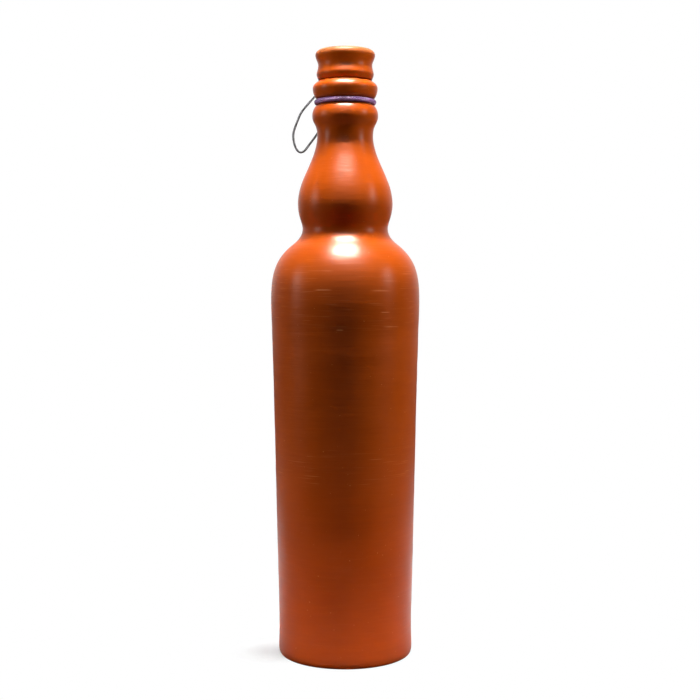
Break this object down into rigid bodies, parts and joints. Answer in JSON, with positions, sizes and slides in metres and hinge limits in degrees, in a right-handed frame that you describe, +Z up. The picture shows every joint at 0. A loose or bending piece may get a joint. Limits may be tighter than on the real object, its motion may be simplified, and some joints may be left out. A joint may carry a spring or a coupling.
{
  "type": "clay water bottle",
  "caption": "Tall burnished clay water bottle with a bulbed neck, a lift-out clay stopper with a sealing ring, and a cord round the neck that carries a thin hanging loop.",
  "frame": {"origin": "middle of the foot, on the surface that the bottle stands on", "axes": "+Z up along the bottle's axis, -Y to the front as pictured, -X to the side where the loop hangs"},
  "size_m": [0.0804, 0.0804, 0.327],
  "materials": {
    "body_clay": "burnished, satin, with fine turning lines",
    "stopper_clay": "burnished, satin",
    "seal_rubber": "matte",
    "purple_cord": "smooth, satin",
    "grey_cord": "twisted, dull"
  },
  "bodies": {
    "bottle": {"bottle_body": "body_clay"},
    "stopper": {"stopper": "stopper_clay", "stopper_gasket": "seal_rubber"},
    "cord": {"neck_cord": "purple_cord"},
    "loop": {"hang_loop": "grey_cord"}
  },
  "joints": [
    {"name": "stopper_lift", "type": "slide", "parent": "bottle", "child": "stopper", "axis": [0, 0, 1], "range_m": [0, 0.032]},
    {"name": "cord_turn", "type": "hinge", "parent": "bottle", "child": "cord", "pos_m": [0, 0, 0.2991], "axis": [0, 0, 1], "continuous": true},
    {"name": "loop_swing", "type": "hinge", "parent": "cord", "child": "loop", "pos_m": [-0.0105, 0.01819, 0.2991], "axis": [0, 0, -1], "range_deg": [-20, 140]}
  ]
}
